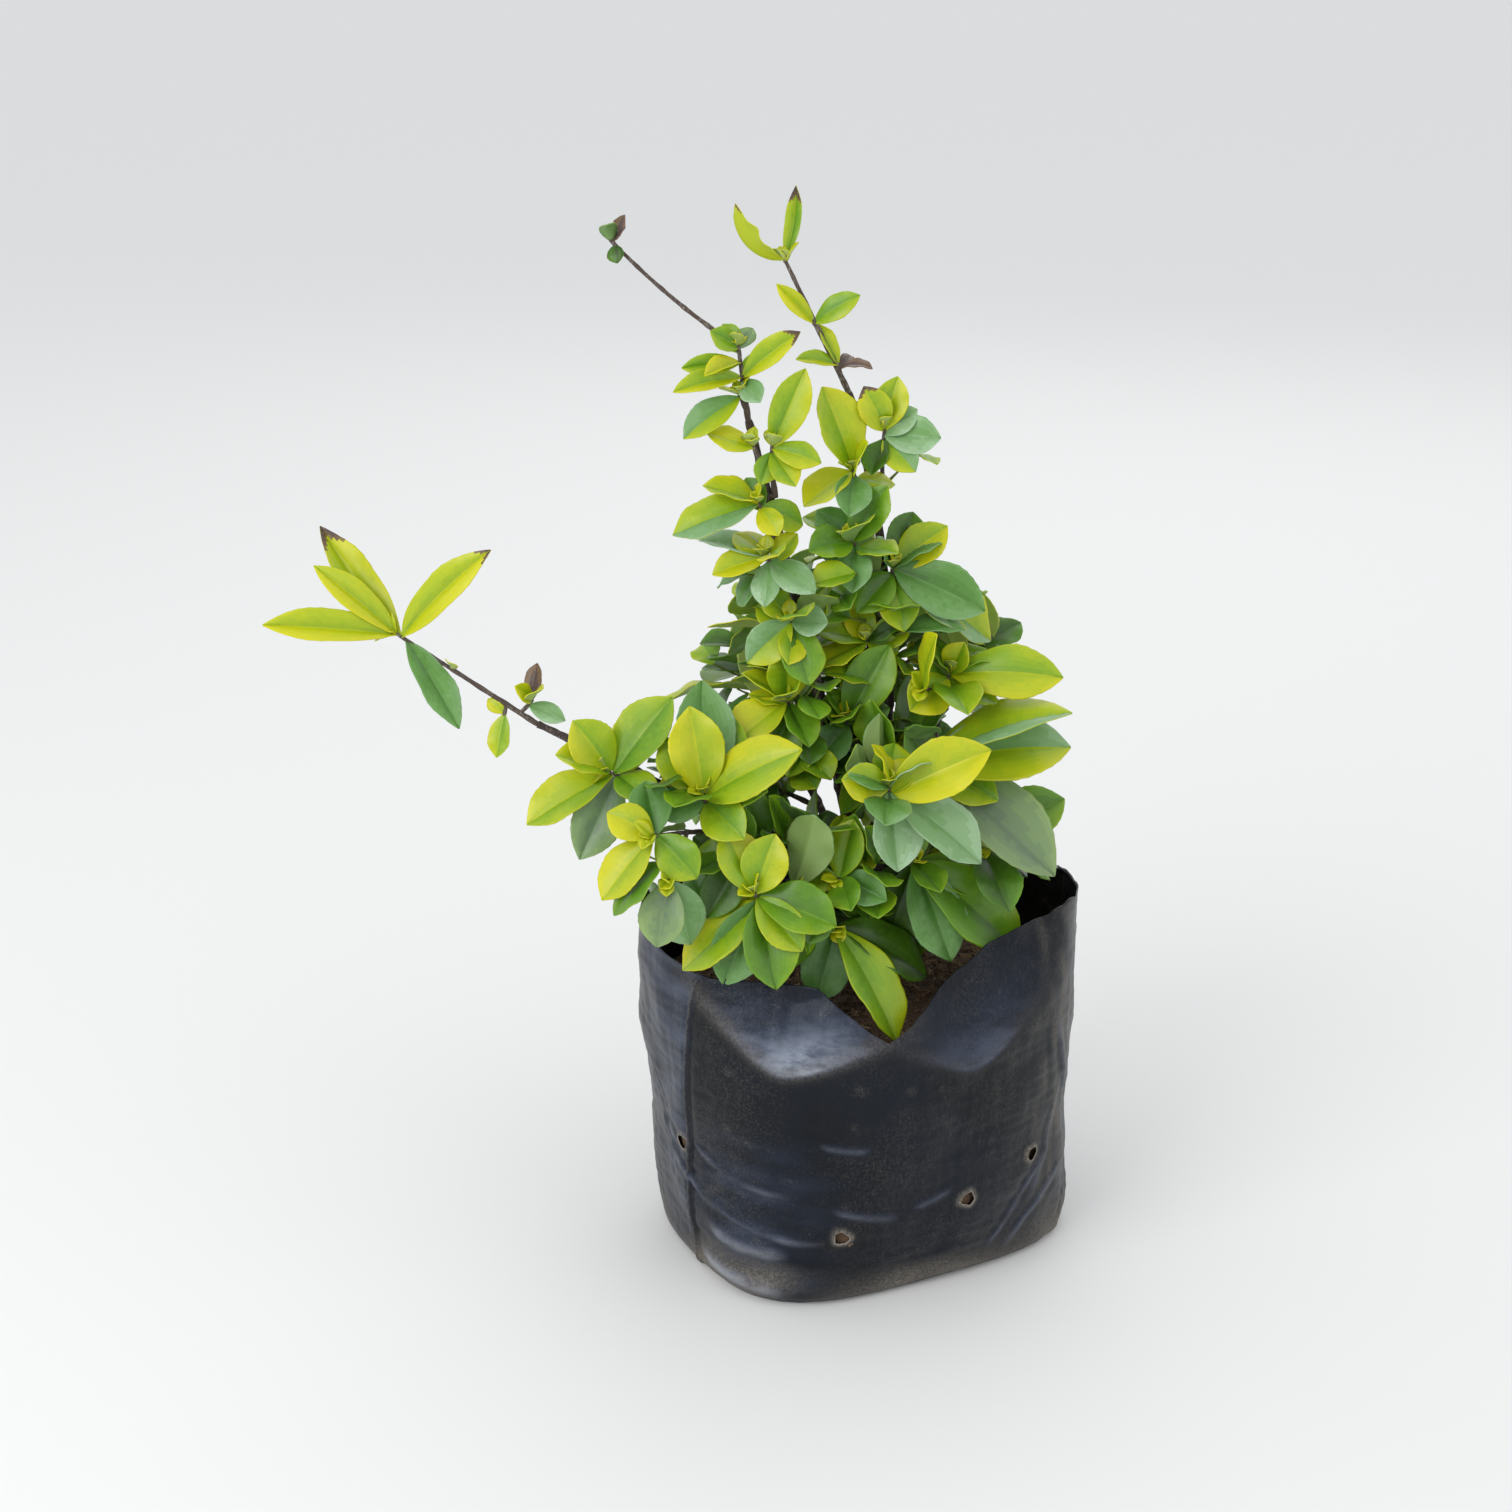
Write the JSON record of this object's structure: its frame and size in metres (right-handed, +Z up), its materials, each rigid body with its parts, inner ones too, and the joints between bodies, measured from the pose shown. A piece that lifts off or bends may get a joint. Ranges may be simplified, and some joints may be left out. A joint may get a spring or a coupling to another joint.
{
  "type": "potted golden duranta in a grow bag",
  "caption": "Young two-stemmed golden-leaved shrub with one long arching side branch, growing in a black polythene nursery grow bag filled with soil",
  "frame": {"origin": "middle of the flat underside of the bag", "axes": "+Z up, -Y toward the pictured side, +X to the picture's right"},
  "size_m": [0.2528, 0.144, 0.3354],
  "materials": {
    "film": "black polythene film with dust and scuffs",
    "soil": "dark brown potting soil with coir and litter",
    "bark": "dark purplish brown bark",
    "leaf": "golden to mid-green leaves"
  },
  "bodies": {
    "root": {"bag": "film", "bough_back_left": "bark", "bough_back_right": "bark", "bough_front": "bark", "bough_front_right": "bark", "bough_left": "bark", "bough_left_low": "bark", "bough_right": "bark", "bough_right_low": "bark", "foliage_back_high": "leaf", "foliage_back_left": "leaf", "foliage_back_left_high": "leaf", "foliage_back_left_low": "leaf", "foliage_back_low": "leaf", "foliage_back_right": "leaf", "foliage_front": "leaf", "foliage_front_middle": "leaf", "foliage_front_right": "leaf", "foliage_front_right_low": "leaf", "foliage_front_skirt": "leaf", "foliage_left_knee": "leaf", "foliage_left_tip": "leaf", "foliage_left_top": "leaf", "foliage_left_under": "leaf", "foliage_low_left": "leaf", "foliage_low_left_hanging": "leaf", "foliage_right": "leaf", "foliage_right_big": "leaf", "foliage_right_cluster": "leaf", "foliage_right_low": "leaf", "foliage_right_top": "leaf", "foliage_stem_left_2": "leaf", "foliage_stem_left_3": "leaf", "foliage_stem_left_4": "leaf", "foliage_stem_left_5": "leaf", "foliage_stem_left_low": "leaf", "foliage_stem_right_2": "leaf", "foliage_stem_right_3": "leaf", "foliage_stem_right_4": "leaf", "foliage_stem_right_5": "leaf", "foliage_stem_right_low": "leaf", "soil": "soil", "stem_left": "bark", "stem_right": "bark", "trunk": "bark"}
  },
  "joints": []
}
